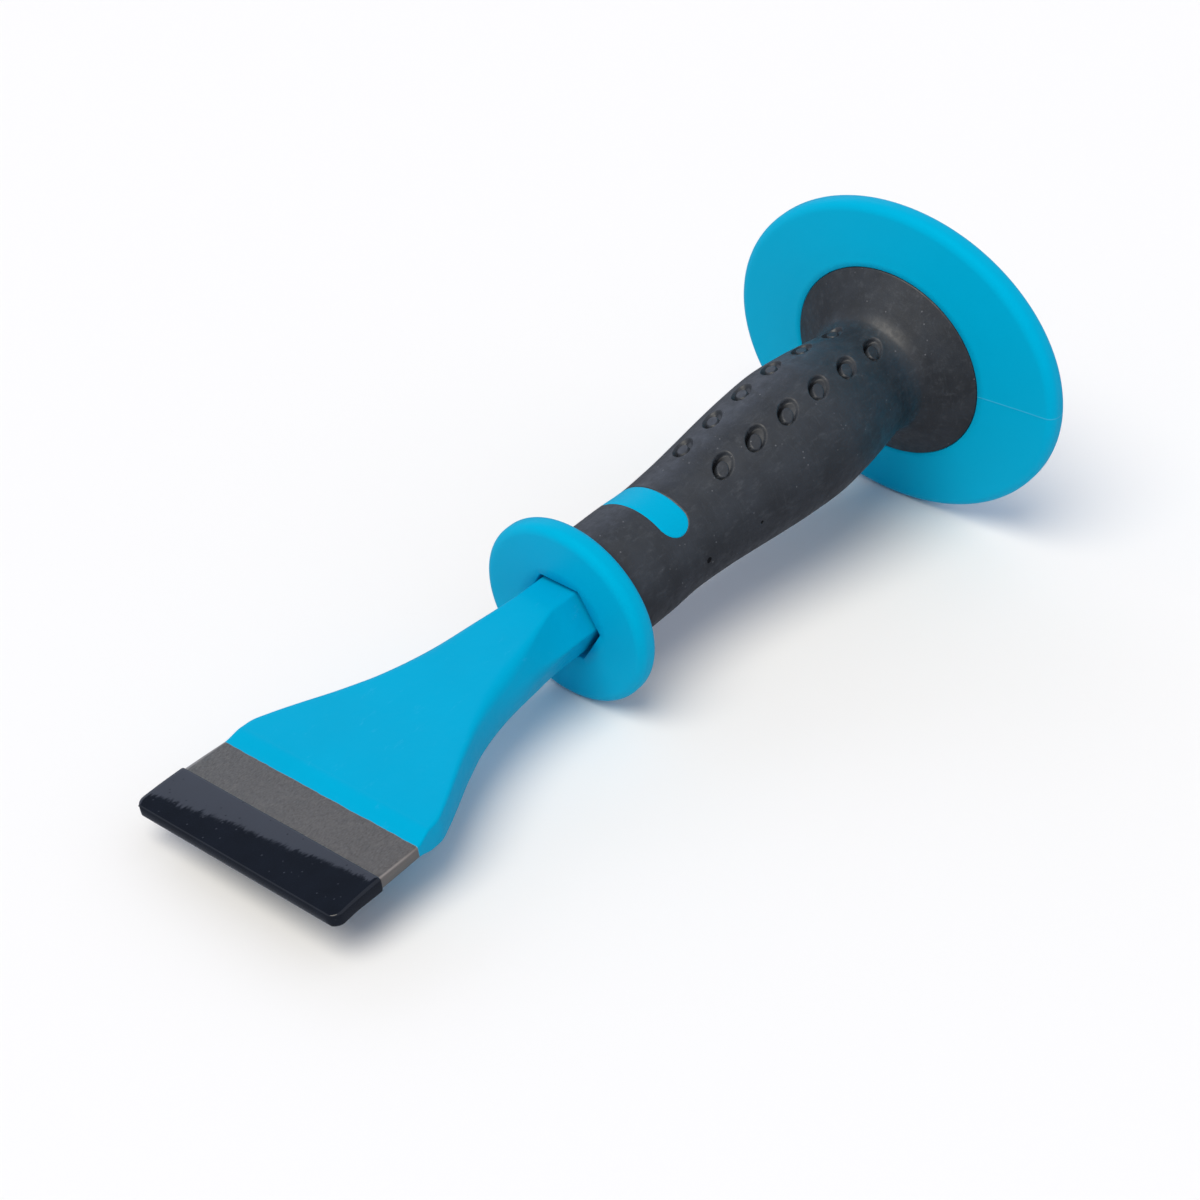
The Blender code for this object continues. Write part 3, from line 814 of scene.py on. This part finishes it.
def pad_surface():
    """The pad: sections across the pill, carried along its arc, flush outside and rounded at the rim."""
    radius = float(smooth_curve(PAD_X, SLEEVE_RADIUS))
    turn = np.linspace(-math.pi / 2, math.pi / 2, 61) * 0.985
    arc = PAD_HALF_ARC * np.sin(turn)
    past = np.clip(np.abs(arc) - (PAD_HALF_ARC - PAD_HALF_WIDTH), 0, None)
    width = np.sqrt(np.clip(PAD_HALF_WIDTH ** 2 - past ** 2, 0, None))
    across = np.sin(np.linspace(-math.pi / 2, math.pi / 2, 21))
    x = PAD_X + width[:, None] * across
    edge = width[:, None] * (1 - np.abs(across))
    end = np.minimum(edge, (PAD_HALF_ARC - np.abs(arc))[:, None])
    drop = 0.16 * (1 - ease(end, 0, 0.35))
    wide, high = sleeve_half_axes(x)
    angle = (arc / radius)[:, None]
    top = np.stack([x, (wide + 0.02 - drop) * np.sin(angle), (high + 0.02 - drop) * np.cos(angle)], -1)
    low = np.stack([x, (wide - PAD_FOOT_DEPTH) * np.sin(angle), (high - PAD_FOOT_DEPTH) * np.cos(angle)], -1)
    return np.concatenate([top, low[:, ::-1]], axis=1)


# ---------------------------------------------------------------- operators


class BOLSTER_OT_bar(bpy.types.Operator):
    """Build the forged bar with its paint and bare steel"""

    bl_idname = "bolster.bar"
    bl_label = "Forged bar"

    def execute(self, context):
        settings = context.scene.bolster_bar
        piece = skin("forged_bar", bar_surface(settings))
        finish_piece(piece, bar_material(settings), "blue_paint", "chisel_bar")
        return {"FINISHED"}


class BOLSTER_OT_dip(bpy.types.Operator):
    """Build the dip over the cutting edge"""

    bl_idname = "bolster.dip"
    bl_label = "Protective dip"

    def execute(self, context):
        scene = context.scene
        piece = skin("protective_dip", dip_surface(scene.bolster_bar, scene.bolster_dip))
        finish_piece(piece, dip_material(scene.bolster_dip), "black_dip", "edge_dip")
        return {"FINISHED"}


class BOLSTER_OT_core(bpy.types.Operator):
    """Build the collar, tube and guard, and the pad that shows through the sleeve"""

    bl_idname = "bolster.core"
    bl_label = "Rigid core"

    def execute(self, context):
        settings = context.scene.bolster_core
        blue = moulding_material("satin_blue_moulding", settings.colour)
        piece = skin("moulded_core", core_surface(settings), endless=True)
        finish_piece(piece, blue, "blue_moulding", "handle_core")
        pad = skin("core_pad", pad_surface())
        finish_piece(pad, blue, "blue_moulding")
        return {"FINISHED"}


class BOLSTER_OT_sleeve(bpy.types.Operator):
    """Build the soft sleeve with its dimples"""

    bl_idname = "bolster.sleeve"
    bl_label = "Soft sleeve"

    def execute(self, context):
        settings = context.scene.bolster_sleeve
        rings, recessed = sleeve_surface(settings)
        piece = skin("rubber_sleeve", rings, endless=True, recessed=recessed)
        finish_piece(piece, rubber_material(settings), "black_rubber", "grip_sleeve")
        return {"FINISHED"}


# The camera in the tool's frame: its place in millimetres, where it looks, and what is up.
CAMERA_PLACE = (-207.3, -301.1, 351.0)
CAMERA_LOOK = (0.5630, 0.5350, -0.6299)
CAMERA_UP = (0.5130, 0.3713, 0.7739)
CAMERA_LENS = 76.326
SENSOR_WIDTH = 36.0
FLOOR_SIZE = 8.0
# The light: where the sun stands, and the tints of the sun, the room and the panel.
KEY_FROM = (-0.52, -0.06, 0.85)
KEY_COLOUR = (1.10, 1.03, 0.89)
ROOM_COLOUR = (0.91, 0.97, 1.13)
PANEL_COLOUR = (0.86, 0.95, 1.2)
# A panel high on the far side that the dip mirrors: where it is, and the edge between its two halves.
PANEL_CENTRE = (0.305, 0.652, 0.694)
PANEL_EDGE = (0.342, 0.605, -0.719)
PANEL_BRIGHT = 1.15
PANEL_DARK = 0.16
LOW_ROOM = 0.22


def key_light(settings):
    """A wide sun from above the blade end."""
    data = bpy.data.lights.new("key_light", "SUN")
    data.energy = settings.key_light
    data.angle = settings.key_softness
    data.color = KEY_COLOUR
    made = bpy.data.objects.new("key_light", data)
    made.matrix_world = Vector(KEY_FROM).to_track_quat("Z", "Y").to_matrix().to_4x4()
    bpy.context.scene.collection.objects.link(made)


def room(settings):
    """An even, slightly cool room, dim below, with a panel on the far side in a light and a dark half.

    The floor is left out of reflections, so what a shiny side mirrors is the dim lower room.
    """
    world = bpy.data.worlds.new("room")
    world.use_nodes = True
    tree = world.node_tree
    way = node(tree, "ShaderNodeTexCoord").outputs["Generated"]
    facing = []
    for direction in (PANEL_CENTRE, PANEL_EDGE, (0, 0, 1)):
        made = node(tree, "ShaderNodeVectorMath", operation="DOT_PRODUCT")
        tree.links.new(way, made.inputs[0])
        made.inputs[1].default_value = direction
        facing.append(made.outputs["Value"])
    panel = remap(tree, facing[1], -0.004, 0.004, PANEL_DARK, PANEL_BRIGHT)
    inside = remap(tree, facing[0], 0.84, 0.92)
    strength = node(tree, "ShaderNodeMix", {"Factor": inside}, data_type="FLOAT")
    even = remap(tree, facing[2], -0.08, 0.08, LOW_ROOM, settings.room_light)
    tree.links.new(even, strength.inputs[2])
    tree.links.new(panel, strength.inputs[3])
    background = tree.nodes["Background"]
    tree.links.new(mix_colour(tree, inside, ROOM_COLOUR, PANEL_COLOUR), background.inputs["Color"])
    tree.links.new(strength.outputs[0], background.inputs["Strength"])
    bpy.context.scene.world = world


def floor_piece(settings):
    """A pale floor under the tool's lowest point."""
    low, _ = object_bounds()
    half = FLOOR_SIZE / 2
    mesh = bpy.data.meshes.new("floor")
    corners = [(-half, -half, low.z), (half, -half, low.z), (half, half, low.z), (-half, half, low.z)]
    mesh.from_pydata(corners, [], [(0, 1, 2, 3)])
    made = bpy.data.objects.new("floor", mesh)
    bpy.context.scene.collection.objects.link(made)
    paint, tree, shader = new_material("pale_floor")
    place = node(tree, "ShaderNodeTexCoord").outputs["Object"]
    tone = mix_colour(tree, noise(tree, place, 3.0, 2), scaled(settings.floor_colour, 0.995),
                      settings.floor_colour)
    tree.links.new(tone, shader.inputs["Base Color"])
    shader.inputs["Roughness"].default_value = 0.9
    shader.inputs["Specular IOR Level"].default_value = 0.1
    mesh.materials.append(paint)
    made.visible_glossy = False
    made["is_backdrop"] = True


def camera():
    """The camera, placed in the tool's frame and carried into the row's frame."""
    look = Vector(CAMERA_LOOK).normalized()
    right = look.cross(Vector(CAMERA_UP)).normalized()
    up = right.cross(look)
    turn = Matrix((right, up, -look)).transposed().to_4x4()
    data = bpy.data.cameras.new("camera")
    data.lens = CAMERA_LENS
    data.sensor_width = SENSOR_WIDTH
    data.clip_start = 0.01
    made = bpy.data.objects.new("camera", data)
    made.matrix_world = TOOL @ Matrix.Translation(Vector(CAMERA_PLACE) * MM) @ turn
    bpy.context.scene.collection.objects.link(made)
    bpy.context.scene.camera = made


class BOLSTER_OT_stage(bpy.types.Operator):
    """Set the floor, the light and the camera"""

    bl_idname = "bolster.stage"
    bl_label = "Stage"

    def execute(self, context):
        scene = context.scene
        settings = scene.bolster_stage
        floor_piece(settings)
        key_light(settings)
        room(settings)
        scene.view_settings.view_transform = "Standard"
        camera()
        return {"FINISHED"}


class BOLSTER_PT_panel(bpy.types.Panel):
    """Lists the pieces and their settings"""

    bl_label = "Bolster"
    bl_idname = "BOLSTER_PT_panel"
    bl_space_type = "VIEW_3D"
    bl_region_type = "UI"
    bl_category = "Bolster"

    def draw(self, context):
        layout = self.layout
        for group, operator in STEPS:
            box = layout.box()
            box.operator(operator)
            settings = getattr(context.scene, group)
            for name in settings.bl_rna.properties.keys():
                if name not in ("rna_type", "name"):
                    box.prop(settings, name)


STEPS = (("bolster_bar", "bolster.bar"), ("bolster_dip", "bolster.dip"), ("bolster_core", "bolster.core"),
         ("bolster_sleeve", "bolster.sleeve"), ("bolster_stage", "bolster.stage"))
GROUPS = {"bolster_bar": BarSettings, "bolster_dip": DipSettings, "bolster_core": CoreSettings,
          "bolster_sleeve": SleeveSettings, "bolster_stage": StageSettings}
CLASSES = (*GROUPS.values(), BOLSTER_OT_bar, BOLSTER_OT_dip, BOLSTER_OT_core, BOLSTER_OT_sleeve,
           BOLSTER_OT_stage, BOLSTER_PT_panel)


def register():
    """Register the classes and hang each group of settings on the scene."""
    for cls in CLASSES:
        bpy.utils.register_class(cls)
    for name, group in GROUPS.items():
        setattr(bpy.types.Scene, name, PointerProperty(type=group))


def unregister():
    """Take the settings and classes away again."""
    for name in GROUPS:
        delattr(bpy.types.Scene, name)
    for cls in reversed(CLASSES):
        bpy.utils.unregister_class(cls)


def main():
    """Build every piece in order."""
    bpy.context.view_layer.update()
    register()
    bpy.ops.bolster.bar()
    bpy.ops.bolster.dip()
    bpy.ops.bolster.core()
    bpy.ops.bolster.sleeve()
    bpy.ops.bolster.stage()


if __name__ == "__main__":
    main()
